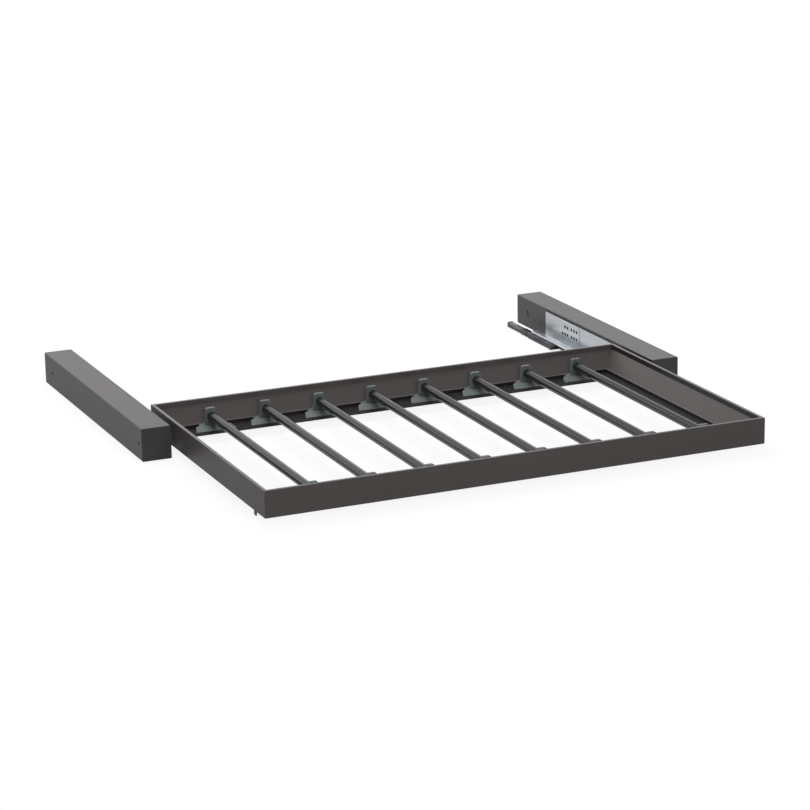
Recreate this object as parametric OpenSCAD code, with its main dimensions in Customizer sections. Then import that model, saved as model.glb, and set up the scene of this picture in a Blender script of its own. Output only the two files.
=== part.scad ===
// Pull-out trouser rack for a wardrobe, drawn pulled out.
// Two side housings are screwed to the wardrobe panels and hold ball slides.
// The slides carry a mitred frame of one extruded section, with eight hanging rods on T-shaped supports.
// X runs across the wardrobe, +Y runs into it and +Z is up. The origin is in the
// middle of the floor area that the pulled-out rack takes, level with the housings' underside.

/* [Wardrobe] */
// Clear width between the two wardrobe panels
clear_width = 864; // [780:1:1100]
// How far the rack stands out in front of the housings
pull_out = 349; // [260:1:360]

/* [Side housings] */
// Width of each side housing
housing_width = 44; // [36:0.5:60]
// Height of each side housing
housing_height = 48.5; // [46:0.5:60]
// Length of each side housing
housing_length = 472; // [460:1:540]
// Sheet thickness of a housing
housing_wall = 1.2; // [1:0.1:2]
// Thickness of the end caps
cap_plate = 2; // [1.5:0.1:3]
// Height of the lip left above the slide window
window_lip = 5.1; // [4:0.1:8]
// Radius of the wall screw holes
wall_screw_hole = 2.3; // [1.8:0.1:3]
// Distance of the front wall screw from the housing front
wall_screw_front = 13; // [11:0.5:18]
// Distance of the rear wall screw from the housing rear
wall_screw_rear = 39; // [30:0.5:60]

/* [Rack frame] */
// Gap between the frame and each housing
rack_gap = 8.6; // [6:0.1:14]
// Front to back depth of the frame
rack_depth = 462; // [450:1:470]
// Height of the frame
rack_height = 38.5; // [34:0.5:60]
// Height of the frame's underside above the housings' underside
rack_lift = 11; // [11:0.1:11.5]
// Wall thickness of the frame rails
rail_wall = 1.8; // [1.5:0.1:2.4]
// Thickness of the bead along the rail tops
bead_width = 5; // [3:0.1:7]
// Height of the bead along the rail tops
bead_height = 7.5; // [4:0.1:10]
// Width of the slide chamber at the foot of a rail
chamber_width = 26; // [25:0.1:30]
// Height of the slide chamber at the foot of a rail
chamber_height = 6.8; // [6.8:0.1:9]
// Width of the flange along the foot of the front and rear rails
flange_width = 38; // [34:0.5:42]
// Width of the flange along the foot of the side rails
side_flange_width = 17; // [8:0.5:24]
// Thickness of the flange along the foot of a rail
flange_sheet = 2.2; // [2:0.1:3]

/* [Hanging rods] */
// Diameter of a rod
rod_diameter = 13; // [9:0.5:14]
// Wall thickness of a rod
rod_wall = 1.2; // [0.8:0.1:2]
// Distance of the outer rods' axes from the frame's sides
rod_inset = 80.85; // [70:0.05:90]
// Height of the rod axis above the frame's underside
rod_axis = 19.5; // [19:0.1:22]

/* [Rod supports] */
// Width of a support's foot
foot_width = 62; // [50:0.5:70]
// Front to back depth of a support
foot_depth = 26.5; // [25:0.5:28]
// Thickness of a support's foot where it meets the post
foot_thickness = 5; // [4.2:0.1:6]
// Front to back thickness of a support's post
post_thickness = 6.5; // [5:0.1:9]
// Width of a post at its foot
post_width_low = 20.5; // [18:0.5:26]
// Width of a post at its top
post_width_top = 15; // [13:0.5:18]
// Height of a post above the rod axis
post_rise = 12; // [11:0.1:14]

/* [Slides] */
// Sheet thickness of the slide profiles
profile_sheet = 1.2; // [1:0.05:1.3]
// Length of the profile fixed in a housing
fixed_profile_length = 363; // [350:1:400]
// Radius of the slide balls
ball_radius = 1.3; // [1.2:0.05:1.3]
// Travel of the soft-closing catch
catch_travel = 45; // [30:1:45]

/* [Hidden] */

$fn = 48;
// Overrun of every cut past the face it goes through
over = 1;
// Steps in a rounded corner of an outline
corner_steps = 4;
// Clearance of a pin, shank or rod in its hole
fit_gap = 0.05;
// Clearance of a moulded piece in its seat
seat_gap = 0.3;

rod_count = 8;
rod_radius = rod_diameter / 2;

// Places across the wardrobe, for the right-hand side
housing_outer_x = clear_width / 2;
housing_inner_x = housing_outer_x - housing_width;
rack_width = 2 * (housing_inner_x - rack_gap);
rack_side_x = rack_width / 2;
rod_pitch = (rack_width - 2 * rod_inset) / (rod_count - 1);

// Places front to back, measured from the rack's front face
overall_depth = pull_out + housing_length;
housing_front_y = pull_out;
housing_rear_y = overall_depth;
shell_front_y = housing_front_y + cap_plate;
shell_rear_y = housing_rear_y - cap_plate;
wall_screw_ys = [housing_front_y + wall_screw_front, housing_rear_y - wall_screw_rear];
wall_screw_z = housing_height / 2;

// Housing details
housing_corner = 1.5;
housing_inner_corner = 0.4;
cap_spigot = 6;
cap_spigot_wall = 1.6;
cap_gap = 0.2;
access_hole = 2.4;
access_hole_rise = 5.2;
access_hole_shift = 0.6;

// Frame details
edge_round = 0.7;
shelf_sheet = 1.4;
inner_wall = 1.5;
bead_low = rack_height - bead_height;
flange_end = chamber_width + flange_width;
side_flange_end = chamber_width + side_flange_width;
// Hollow in the bead that takes the corner keys
key_wall = 1.3;
key_gap = 0.05;
key_length = 26;
ceiling_z = rack_lift + chamber_height - shelf_sheet;
chamber_outer_x = rack_side_x - rail_wall;
chamber_inner_x = rack_side_x - chamber_width + inner_wall;

// Ball slide section, stacked downwards from the chamber's ceiling
ball_gap = 2.2;
race_gap = 0.1;
moving_side_gap = 1.2;
moving_inner_gap = 3.2;
cage_sheet = 0.7;
cage_top_gap = 0.65;
hat_top_gap = 0.45;
bend_radius = 0.6;
moving_outer_x = chamber_outer_x - moving_side_gap;
hat_outer_x = moving_outer_x - profile_sheet - ball_gap;
moving_inner_x = chamber_inner_x + moving_inner_gap;
hat_inner_x = moving_inner_x + profile_sheet + ball_gap;
moving_web_z = ceiling_z - profile_sheet;
cage_top_z = moving_web_z - cage_top_gap;
hat_top_z = cage_top_z - cage_sheet - hat_top_gap;
ball_drop = 1.25;
ball_z = hat_top_z - ball_drop;
hat_lip = 2.7;
moving_leg_gap = 0.1;
moving_leg_z = rack_lift + moving_leg_gap;
cage_leg_drop = 1.8;
outer_ball_x = hat_outer_x + ball_gap / 2;
inner_ball_x = hat_inner_x - ball_gap / 2;

// Fixed profile: a flange in the housing's window, a floor strip and the hat-shaped rail
fixed_front_gap = 3;
fixed_front_y = housing_front_y + fixed_front_gap;
fixed_rear_y = fixed_front_y + fixed_profile_length;
window_top_z = housing_height - window_lip;
flange_top_gap = 0.2;
flange_top_z = window_top_z - flange_top_gap;
front_trim_length = 60;
front_trim_z = 6.5;
flange_hole = 2.7;
flange_hole_pitch = 9;
flange_hole_low_z = 21.3;
flange_hole_high_z = 33.3;
flange_group_gap = 14;
flange_group_inset = 63;
front_group_inset = 100;
flange_access = 3.6;
pad_rise = 0.8;
pad_margin = 8;
pad_low_z = 5.5;
pad_round = 3;
floor_slot_length = 32;
floor_slot_width = 3;
floor_slot_inset = 3.2;

// Spacer blocks and the screws that hold the fixed profile to them
block_length = 30;
block_wall = 3;
block_inset = 28;
block_pitch = 96;
block_ys = [housing_front_y + block_inset, housing_front_y + block_inset + block_pitch];
block_screw_zs = [13, 33];
screw_shank = 1.9;
screw_length = 11;
screw_head = 3.7;
screw_head_height = 1.8;

// Moving profile
moving_front_y = 72;
moving_rear_gap = 7;
moving_rear_y = rack_depth - moving_rear_gap;
tongue_front_y = 58;
tab_length = 6;
tab_drop = 2.2;
rivet_radius = 1.5;
rivet_head = 2.4;
rivet_head_height = 0.8;
rivet_bite = 0.8;
rivet_shares = [0.12, 0.5, 0.9];

// Ball cage
cage_end_gap = 4;
cage_front_y = fixed_front_y + cage_end_gap;
cage_rear_y = moving_rear_y - cage_end_gap;
ball_pitch = 16;
ball_end_gap = 7;
cage_hole = ball_radius + race_gap;
balls_in_row = floor((cage_rear_y - cage_front_y - 2 * ball_end_gap) / ball_pitch) + 1;
cage_window_length = 9;
cage_window_width = 5;

// Soft-closing unit, beside and behind the fixed rail
damper_side_step = 5.5;
damper_inner_x = hat_inner_x - damper_side_step;
damper_outer_x = hat_outer_x - profile_sheet;
damper_low_z = 1;
damper_top_z = 10;
damper_wall = 1.6;
damper_overlap = 83;
damper_stand_out = 1;
damper_front_y = fixed_rear_y - damper_overlap;
damper_rear_y = fixed_rear_y + damper_stand_out;
damper_tongue = 25;
damper_tongue_width = 5;
damper_tongue_low = 3.6;
damper_tongue_top = 8.6;
damper_rim = 7;
damper_rim_rise = 0.5;
damper_end_wall = 4;
tab_slot_gap = 0.5;
damper_floor = 1.4;
damper_side = 2.4;
cavity_low_z = damper_low_z + damper_floor;
cavity_top_z = damper_top_z - damper_wall;
cavity_inner_x = damper_inner_x + damper_wall;
cavity_outer_x = damper_outer_x - damper_side;
side_slot_length = 29;
side_slot_height = 1.5;
side_slot_low_z = 6.1;
side_slot_inset = 23;

cylinder_step = 0.5;
cylinder_inner_x = damper_inner_x + cylinder_step;
cylinder_width = 12;
cylinder_low_z = 1.2;
cylinder_top_z = 9.8;
cylinder_corner = 3.2;
cylinder_length = 79;
cylinder_end_wall = 7;
nub_radius = 3.2;
nub_length = 8;
piston_x = cylinder_inner_x + cylinder_width / 2;
piston_z = (cylinder_low_z + cylinder_top_z) / 2;
piston_bore = 3.2;
piston_rod = 1.5;
piston_head_length = 6;
rod_hole = 1.8;
cylinder_front_wall = 3;
cylinder_front_y = damper_rear_y;
cylinder_rear_y = cylinder_front_y + cylinder_length;
clip_length = 22;
clip_inset = 6;
clip_sheet = 0.7;

// Catch carriage, with fingers that stand either side of the moving profile's tab
carriage_inset = 8;
carriage_front_y = damper_front_y + carriage_inset;
carriage_length = 22;
finger_length = 5;
finger_inset = 1;
finger_rise = 0.5;
finger_width = 1.6;
carriage_corner = 1;
spring_side_gap = 2.3;
spring_x = cavity_outer_x - spring_side_gap;
spring_radius = 1.6;
spring_wire = 0.45;
spring_groove = 1.9;
spring_lug = 3;
tab_y = carriage_front_y + carriage_length / 2 + catch_travel - pull_out - tab_length / 2;

// Release lever at the front end of the moving profile
lever_sheet = 1.5;
lever_gap = 0.2;
lever_outer_x = moving_outer_x - profile_sheet - lever_gap;
lever_pin = 1.2;
lever_pivot_y = 64;
lever_boss = 2.3;
lever_top_gap = 0.4;
lever_pivot_z = ceiling_z - lever_boss - lever_top_gap;
lever_tip_z = 0.8;
lever_arm_rise = 1;
lever_arm_z = rack_lift + lever_arm_rise;
lever_front_y = 31;
lever_tab_front_y = 46;
lever_tab_rear_y = 53;
pin_head = 2;
pin_head_height = 0.6;

// Rod supports
post_rail_gap = 2.5;
post_back = chamber_width + post_rail_gap;
post_front = post_back + post_thickness;
foot_front = post_back + foot_depth;
foot_top = flange_sheet + foot_thickness;
foot_front_share = 0.2;
foot_ridge_step = 7;
foot_taper = 5;
wing_step = 5;
post_top = rod_axis + post_rise;
post_corner = 3;
post_fillet = 4;
post_back_wall = 1.2;
rod_end_gap = 0.4;
support_screw_shares = [-0.32, 0.32];
support_screw_inset = 19;
support_screw_shank = 1.9;
support_screw_head = 3.5;
support_screw_cone = 1.8;
support_screw_bite = 2;
support_screw_flush = 0.1;
recess_length = 3.4;
recess_width = 0.8;
recess_depth = 1.1;
screw_dome_share = 0.62;

// Direction helpers and outlines with rounded corners
function unit(v) = v / norm(v);
function left_of(v) = [-v.y, v.x];
function turn(a, b) = atan2(a.x * b.y - a.y * b.x, a * b);
function spun(v, angle) = [v.x * cos(angle) - v.y * sin(angle), v.x * sin(angle) + v.y * cos(angle)];

// Points of the arc of radius r that rounds the corner b between a and c
function fillet(a, b, c, r) =
    r == 0 ? [b] :
    let (
        p = unit(a - b),
        q = unit(c - b),
        half = acos(p * q) / 2,
        centre = b + unit(p + q) * r / sin(half),
        start = b + p * r / tan(half) - centre,
        sweep = turn(start, b + q * r / tan(half) - centre)
    )
    [for (i = [0 : corner_steps]) centre + spun(start, sweep * i / corner_steps)];

// Closed outline whose corners are rounded by the radii in the second list
function rounded(points, radii) =
    let (n = len(points))
    [for (i = [0 : n - 1])
        each fillet(points[(i + n - 1) % n], points[i], points[(i + 1) % n], radii[i])];

// Line that runs beside an open path at a set distance to its left
function beside(path, distance) =
    let (last = len(path) - 1)
    [for (i = [0 : last])
        let (
            before = left_of(unit(path[max(i, 1)] - path[max(i, 1) - 1])),
            after = left_of(unit(path[min(i, last - 1) + 1] - path[min(i, last - 1)]))
        )
        path[i] + (before + after) * distance / (1 + before * after)];

// One face of a folded sheet: bends that turn towards the face get the inner radius
function sheet_face(path, sheet, radius, side) =
    let (line = beside(path, side * sheet / 2), last = len(path) - 1)
    [for (i = [0 : last])
        each i == 0 || i == last ? [line[i]] :
            fillet(line[i - 1], line[i], line[i + 1],
                side * turn(path[i] - path[i - 1], path[i + 1] - path[i]) > 0
                    ? radius : radius + sheet)];

// Outline of a folded sheet that follows an open path along its middle
function folded(path, sheet, radius) =
    let (back = sheet_face(path, sheet, radius, -1))
    concat(sheet_face(path, sheet, radius, 1), [for (i = [len(back) - 1 : -1 : 0]) back[i]]);

// Corners of a box outline, from its low corner to its high corner
function box_outline(low, high) = [low, [high.x, low.y], high, [low.x, high.y]];

// A solid between two places front to back, from an outline in X and Z
module along_y(from, to) {
    translate([0, to, 0]) rotate([90, 0, 0]) linear_extrude(to - from) children();
}

// A solid between two places across, from an outline in Y and Z
module along_x(from, to) {
    translate([from, 0, 0]) rotate([90, 0, 90]) linear_extrude(to - from) children();
}

// A box between its low corner and its high corner
module block(low, high) {
    translate(low) cube(high - low);
}

// Round solids whose axis runs across or front to back
module round_x(from, to, y, z, radius) {
    translate([from, y, z]) rotate([0, 90, 0]) cylinder(h = to - from, r = radius);
}

module round_y(from, to, x, z, radius) {
    translate([x, to, z]) rotate([90, 0, 0]) cylinder(h = to - from, r = radius);
}

// Moves a piece from the rack's front face to the origin, mirrored on the left
module placed(side = 1) {
    translate([0, -overall_depth / 2, 0])
        if (side > 0) children();
        else mirror([1, 0, 0]) children();
}

// Housings: folded sheet boxes with a window for the slide's flange
module housing_box(shrink, from, to, corner) {
    low = [housing_inner_x + shrink, shrink];
    high = [housing_outer_x - shrink, housing_height - shrink];
    along_y(from, to) polygon(rounded(box_outline(low, high), [corner, corner, corner, corner]));
}

module housing_shell(side) {
    color("#3a3838") placed(side) difference() {
        housing_box(0, shell_front_y, shell_rear_y, housing_corner);
        housing_box(housing_wall, shell_front_y - over, shell_rear_y + over, housing_inner_corner);
        block(
            [housing_inner_x - over, shell_front_y - over, housing_wall],
            [housing_inner_x + housing_wall + fit_gap, fixed_rear_y, window_top_z]
        );
        for (y = wall_screw_ys)
            round_x(housing_outer_x - 2 * housing_wall, housing_outer_x + over, y,
                wall_screw_z, wall_screw_hole);
        for (step = [-1, 1])
            round_x(housing_inner_x - over, housing_inner_x + 2 * housing_wall,
                wall_screw_ys[1] + step * access_hole_shift,
                wall_screw_z + step * access_hole_rise / 2, access_hole);
    }
}

module housing_cap(side, plate_y, inward) {
    spigot_start = plate_y + inward * cap_plate;
    spigot_end = spigot_start + inward * cap_spigot;
    low_y = min(spigot_start, spigot_end);
    high_y = max(spigot_start, spigot_end);
    color("#343234") placed(side) {
        housing_box(0, min(plate_y, spigot_start), max(plate_y, spigot_start), housing_corner);
        difference() {
            housing_box(housing_wall + cap_gap, low_y, high_y, housing_inner_corner);
            housing_box(housing_wall + cap_gap + cap_spigot_wall, low_y - over, high_y + over,
                housing_inner_corner);
        }
    }
}

module spacer_blocks(side) {
    inner_x = housing_inner_x + housing_wall;
    outer_x = housing_outer_x - housing_wall;
    top_z = housing_height - housing_wall;
    middle_x = (inner_x + outer_x) / 2;
    color("#2b2b2d") placed(side) for (y = block_ys) difference() {
        along_y(y, y + block_length) polygon(rounded(
            box_outline([inner_x, housing_wall], [outer_x, top_z]),
            [housing_corner, housing_inner_corner, housing_inner_corner, housing_inner_corner]));
        block([middle_x + block_wall / 2, y - over, housing_wall + block_wall],
            [outer_x - block_wall, y + block_length + over, top_z - block_wall]);
        block([inner_x + screw_length + block_wall, y - over, housing_wall + block_wall],
            [middle_x - block_wall / 2, y + block_length + over, top_z - block_wall]);
        for (z = block_screw_zs)
            round_x(inner_x - over, inner_x + screw_length, y + block_length / 2, z,
                screw_shank + fit_gap);
    }
}

module profile_screws(side) {
    color("#b9bcc0") placed(side) for (y = block_ys, z = block_screw_zs)
        translate([housing_inner_x, y + block_length / 2, z]) rotate([0, 90, 0]) difference() {
            rotate_extrude() polygon(rounded([
                [0, -screw_head_height], [screw_head * screw_dome_share, -screw_head_height],
                [screw_head, 0], [screw_shank, 0],
                [screw_shank, screw_length - screw_shank], [0, screw_length]
            ], [0, screw_head_height / 2, 0, 0, 0, 0]));
            translate([0, 0, -screw_head_height]) cross_recess();
        }
}

// Cross-shaped driver recess in a screw head whose face is at z = 0
module cross_recess() {
    for (turn = [0, 90]) rotate([0, 0, turn]) translate([0, 0, (recess_depth - over) / 2])
        cube([recess_length, recess_width, recess_depth + over], center = true);
}

// Fixed profile: one folded sheet, from the flange in the window to the rail's lip
module fixed_profile(side) {
    half = profile_sheet / 2;
    floor_z = housing_wall + half;
    path = [
        [housing_inner_x + half, flange_top_z], [housing_inner_x + half, floor_z],
        [hat_outer_x - half, floor_z], [hat_outer_x - half, hat_top_z - half],
        [hat_inner_x + half, hat_top_z - half], [hat_inner_x + half, hat_top_z - hat_lip]
    ];
    flange_back = housing_inner_x + profile_sheet + over;
    color("#b7bbbf") placed(side) difference() {
        union() {
            along_y(fixed_front_y, fixed_rear_y) polygon(folded(path, profile_sheet, bend_radius));
            hole_pad(housing_inner_x - pad_rise, housing_inner_x + profile_sheet / 2, 0);
        }
        hole_pad(housing_inner_x + profile_sheet - pad_rise, flange_back, profile_sheet);
        for (x = [inner_ball_x, outer_ball_x])
            round_y(fixed_front_y - over, fixed_rear_y + over, x, ball_z, ball_radius + race_gap);
        along_x(damper_outer_x - over, flange_back) polygon([
            [fixed_front_y - over, -over], [fixed_front_y + front_trim_length, -over],
            [fixed_front_y + front_trim_length - front_trim_z, front_trim_z],
            [fixed_front_y - over, front_trim_z]
        ]);
        flange_holes(fixed_rear_y - flange_group_inset, flange_back);
        flange_holes(fixed_front_y + front_group_inset + flange_group_inset, flange_back);
        round_x(housing_inner_x - over, flange_back, wall_screw_ys[0], wall_screw_z, flange_access);
        for (y = block_ys, z = block_screw_zs)
            round_x(housing_inner_x - over, flange_back, y + block_length / 2, z,
                screw_shank + fit_gap);
        block(
            [housing_inner_x - floor_slot_inset - floor_slot_width,
                fixed_rear_y - flange_group_inset - floor_slot_length, -over],
            [housing_inner_x - floor_slot_inset, fixed_rear_y - flange_group_inset,
                housing_wall + profile_sheet + over]
        );
    }
}

// Two rows of round holes in threes, running back to front from their last hole
module flange_holes(rear_hole_y, flange_back) {
    for (z = [flange_hole_low_z, flange_hole_high_z], group = [0, 1], i = [0 : 2])
        if (z == flange_hole_low_z || group == 1 || i > 0)
            round_x(housing_inner_x - pad_rise - over, flange_back,
                rear_hole_y - i * flange_hole_pitch
                    - group * (2 * flange_hole_pitch + flange_group_gap),
                z, flange_hole);
}

// Pressed pad that stiffens the flange round its rear holes, or its hollow when it is shrunk
module hole_pad(from, to, shrink) {
    rear_y = fixed_rear_y - flange_group_inset + pad_margin;
    front_y = rear_y - 4 * flange_hole_pitch - flange_group_gap - 2 * pad_margin;
    corner = pad_round - shrink;
    along_x(from, to) polygon(rounded(
        box_outline([front_y + shrink, pad_low_z + shrink],
            [rear_y - shrink, flange_top_z - pad_margin / 4 - shrink]),
        [corner, corner, corner, corner]));
}

// Moving profile: an inverted channel under the chamber's ceiling, with the catch's tab
module moving_profile(side) {
    half = profile_sheet / 2;
    path = [
        [moving_inner_x + half, moving_leg_z], [moving_inner_x + half, ceiling_z - half],
        [moving_outer_x - half, ceiling_z - half], [moving_outer_x - half, moving_leg_z]
    ];
    color("#aeb2b6") placed(side) difference() {
        union() {
            along_y(tongue_front_y, moving_rear_y) polygon(folded(path, profile_sheet, bend_radius));
            block([moving_inner_x, tab_y, moving_leg_z - tab_drop],
                [moving_inner_x + profile_sheet, tab_y + tab_length, moving_leg_z + profile_sheet]);
        }
        for (x = [inner_ball_x, outer_ball_x])
            round_y(tongue_front_y - over, moving_rear_y + over, x, ball_z, ball_radius + race_gap);
        block([moving_inner_x - over, tongue_front_y - over, moving_leg_z - over],
            [moving_outer_x - profile_sheet, moving_front_y, ceiling_z + over]);
        round_x(lever_outer_x, moving_outer_x + over, lever_pivot_y, lever_pivot_z,
            lever_pin + fit_gap);
        rivet_holes(over);
    }
}

function rivet_y(share) = moving_front_y + share * (moving_rear_y - moving_front_y);
rivet_x = (moving_inner_x + moving_outer_x) / 2;

// Countersunk rivet shape standing on the moving profile's underside
module rivet(grow, below) {
    rotate_extrude() polygon([
        [0, -below], [rivet_head + grow, -below], [rivet_head + grow, 0],
        [rivet_radius + grow, rivet_head_height],
        [rivet_radius + grow, profile_sheet + rivet_bite + grow],
        [0, profile_sheet + rivet_bite + grow]
    ]);
}

module rivet_holes(below) {
    for (share = rivet_shares)
        translate([rivet_x, rivet_y(share), moving_web_z]) rivet(fit_gap, below);
}

module slide_rivets() {
    color("#9a9da1") for (side = [-1, 1], share = rivet_shares) placed(side)
        translate([rivet_x, rivet_y(share), moving_web_z]) rotate_extrude() polygon([
            [0, 0], [rivet_head, 0], [rivet_radius, rivet_head_height],
            [rivet_radius, profile_sheet + rivet_bite], [0, profile_sheet + rivet_bite]
        ]);
}

// Cage: a thin channel that keeps the balls apart and rolls at half the rack's speed
module ball_cage(side) {
    half = cage_sheet / 2;
    leg_z = ball_z - cage_leg_drop;
    middle_x = (inner_ball_x + outer_ball_x) / 2;
    path = [
        [inner_ball_x, leg_z], [inner_ball_x, cage_top_z - half],
        [outer_ball_x, cage_top_z - half], [outer_ball_x, leg_z]
    ];
    color("#26282a") placed(side) difference() {
        along_y(cage_front_y, cage_rear_y) polygon(folded(path, cage_sheet, 0));
        for (y = ball_ys)
            round_x(inner_ball_x - over, outer_ball_x + over, y, ball_z, cage_hole);
        for (i = [0 : balls_in_row - 2])
            translate([middle_x, ball_ys[i] + ball_pitch / 2, cage_top_z - cage_sheet - over])
                linear_extrude(cage_sheet + 2 * over)
                    square([cage_window_width, cage_window_length], center = true);
    }
}

ball_ys = [for (i = [0 : balls_in_row - 1])
    (cage_front_y + cage_rear_y) / 2 + (i - (balls_in_row - 1) / 2) * ball_pitch];

module slide_balls(side) {
    color("silver") placed(side) for (x = [inner_ball_x, outer_ball_x], y = ball_ys)
        translate([x, y, ball_z]) sphere(r = ball_radius);
}

// Soft-closing unit
module damper_body(side) {
    rear_slot_y = damper_rear_y - side_slot_inset;
    color("#232427") placed(side) difference() {
        union() {
            along_y(damper_front_y, damper_rear_y) polygon(rounded(
                box_outline([damper_inner_x, damper_low_z], [damper_outer_x, damper_top_z]),
                [edge_round, 0, 0, edge_round]));
            along_y(damper_front_y, damper_front_y + damper_rim) polygon(box_outline(
                [damper_inner_x - damper_rim_rise, damper_low_z],
                [damper_inner_x + damper_wall, damper_top_z]));
            along_x(damper_outer_x - damper_tongue_width, damper_outer_x) polygon(rounded(
                box_outline([damper_front_y - damper_tongue, damper_tongue_low],
                    [damper_front_y + damper_wall, damper_tongue_top]),
                [edge_round, 0, 0, 2 * edge_round]));
        }
        block([cavity_inner_x, damper_front_y - over, cavity_low_z],
            [cavity_outer_x, damper_rear_y - damper_end_wall, cavity_top_z]);
        block([moving_inner_x - tab_slot_gap, damper_front_y - over, cavity_top_z - over],
            [moving_inner_x + profile_sheet + tab_slot_gap,
                damper_rear_y - damper_end_wall, damper_top_z + over]);
        block([damper_inner_x - over, rear_slot_y - side_slot_length, side_slot_low_z],
            [cavity_inner_x + over, rear_slot_y, side_slot_low_z + side_slot_height]);
        round_y(damper_rear_y - damper_end_wall - over, damper_rear_y + over, piston_x, piston_z,
            rod_hole);
    }
}

// Outline of the damper cylinder, grown on every side for the clip round it
module cylinder_outline(grow) {
    polygon(rounded(
        box_outline([cylinder_inner_x - grow, cylinder_low_z - grow],
            [cylinder_inner_x + cylinder_width + grow, cylinder_top_z + grow]),
        [for (i = [0 : 3]) cylinder_corner + grow]));
}

module damper_cylinder(side) {
    nub_y = cylinder_rear_y;
    nub_z = damper_top_z + clip_sheet - nub_radius;
    color("#4c4c52") placed(side) difference() {
        union() {
            along_y(cylinder_front_y, cylinder_rear_y) cylinder_outline(0);
            round_x(piston_x - nub_length / 2, piston_x + nub_length / 2, nub_y, nub_z, nub_radius);
        }
        round_y(cylinder_front_y - over, cylinder_rear_y, piston_x, piston_z, rod_hole);
        round_y(cylinder_front_y + cylinder_front_wall, cylinder_rear_y - cylinder_end_wall,
            piston_x, piston_z, piston_bore);
    }
}

module damper_clip(side) {
    front_y = cylinder_front_y + clip_inset;
    color("#57595c") placed(side) difference() {
        along_y(front_y, front_y + clip_length) cylinder_outline(clip_sheet);
        along_y(front_y - over, front_y + clip_length + over) cylinder_outline(0);
    }
}

module catch_carriage(side) {
    rear_y = carriage_front_y + carriage_length;
    top_z = cavity_top_z - seat_gap;
    inner_x = cavity_inner_x + seat_gap;
    fingers = [carriage_front_y + finger_inset, rear_y - finger_inset - finger_length];
    color("#d6d2c6") placed(side) difference() {
        union() {
            along_x(inner_x, cavity_outer_x - seat_gap) polygon(rounded(
                box_outline([carriage_front_y, cavity_low_z + seat_gap], [rear_y, top_z]),
                [carriage_corner, carriage_corner, carriage_corner, carriage_corner]));
            for (y = fingers)
                block([inner_x, y, top_z - carriage_corner],
                    [inner_x + finger_width, y + finger_length, top_z + finger_rise]);
        }
        round_y(rear_y - carriage_length / 4, rear_y + over, piston_x, piston_z,
            piston_rod + fit_gap);
        round_y(carriage_front_y + spring_lug, rear_y + over, spring_x, piston_z, spring_groove);
    }
}

module piston(side) {
    rear_y = carriage_front_y + carriage_length;
    rod_front = rear_y - carriage_length / 4;
    head_front = cylinder_front_y + cylinder_front_wall + piston_head_length;
    color("#c4c7ca") placed(side) {
        round_y(rod_front, head_front + piston_head_length / 2, piston_x, piston_z, piston_rod);
        round_y(head_front, head_front + piston_head_length, piston_x, piston_z,
            piston_bore - race_gap);
    }
}

module closing_spring(side) {
    front_y = carriage_front_y + spring_lug;
    rear_y = damper_rear_y - damper_end_wall;
    color("#8d9095") placed(side) difference() {
        round_y(front_y, rear_y, spring_x, piston_z, spring_radius);
        round_y(front_y - over, rear_y + over, spring_x, piston_z, spring_radius - spring_wire);
    }
}

// Distance from a rail's outer face to its sloping inner wall at a height
function slope_at(z) =
    chamber_width - (z - chamber_height) * (chamber_width - bead_width) / (bead_low - chamber_height);

// Frame rail along X with a flange that reaches inwards: its outer face is at y = 0 and its
// ends are mitred as far as the side rails' flanges reach and square beyond them
module rail(length, reach) {
    ceiling = chamber_height - shelf_sheet;
    profile = [
        [0, 0], [rail_wall, 0], [rail_wall, ceiling],
        [chamber_width - inner_wall, ceiling], [chamber_width - inner_wall, 0],
        [reach, 0], [reach, flange_sheet], [chamber_width, flange_sheet],
        [chamber_width, chamber_height], [bead_width, bead_low],
        [bead_width, rack_height], [0, rack_height]
    ];
    radii = [
        edge_round, 0, 0, 0, 0, edge_round, edge_round, 0, edge_round / 2, 0, edge_round, edge_round
    ];
    slant = norm([chamber_width - bead_width, bead_low - chamber_height]) / (bead_low - chamber_height);
    hollow_top = bead_low - inner_wall;
    hollow = [
        [rail_wall, chamber_height], [slope_at(chamber_height) - inner_wall * slant, chamber_height],
        [slope_at(hollow_top) - inner_wall * slant, hollow_top], [rail_wall, hollow_top]
    ];
    corner = side_flange_end;
    intersection() {
        along_x(-length / 2, length / 2) difference() {
            polygon(rounded(profile, radii));
            polygon(hollow);
            key_outline(0);
        }
        linear_extrude(rack_height) polygon([
            [-length / 2, 0], [length / 2, 0], [length / 2 - corner, corner],
            [length / 2 - corner, flange_end + over], [corner - length / 2, flange_end + over],
            [corner - length / 2, corner]
        ]);
    }
}

// Section of the bead's hollow, or of the corner key in it when it is shrunk
module key_outline(shrink) {
    low = [key_wall + shrink, bead_low + key_wall + shrink];
    high = [bead_width - key_wall - shrink, rack_height - key_wall - shrink];
    polygon(box_outline(low, high));
}

// L-shaped key that joins two rails inside their beads, one at each corner
module corner_key(side) {
    placed(side) translate([rack_side_x, 0, rack_lift]) intersection() {
        union() {
            mirror([1, 0, 0]) along_x(key_wall, key_length) key_outline(key_gap);
            mirror([1, 0, 0]) rotate([0, 0, 90]) mirror([0, 1, 0])
                along_x(key_wall, key_length) key_outline(key_gap);
        }
        translate([-key_length, key_wall + key_gap, 0])
            cube([key_length - key_wall - key_gap, key_length, rack_height]);
    }
}

module corner_keys() {
    color("#b9bcc0") for (side = [-1, 1]) {
        corner_key(side);
        translate([0, rack_depth - overall_depth, 0]) mirror([0, 1, 0]) corner_key(side);
    }
}

rail_color = "#46413f";

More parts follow.
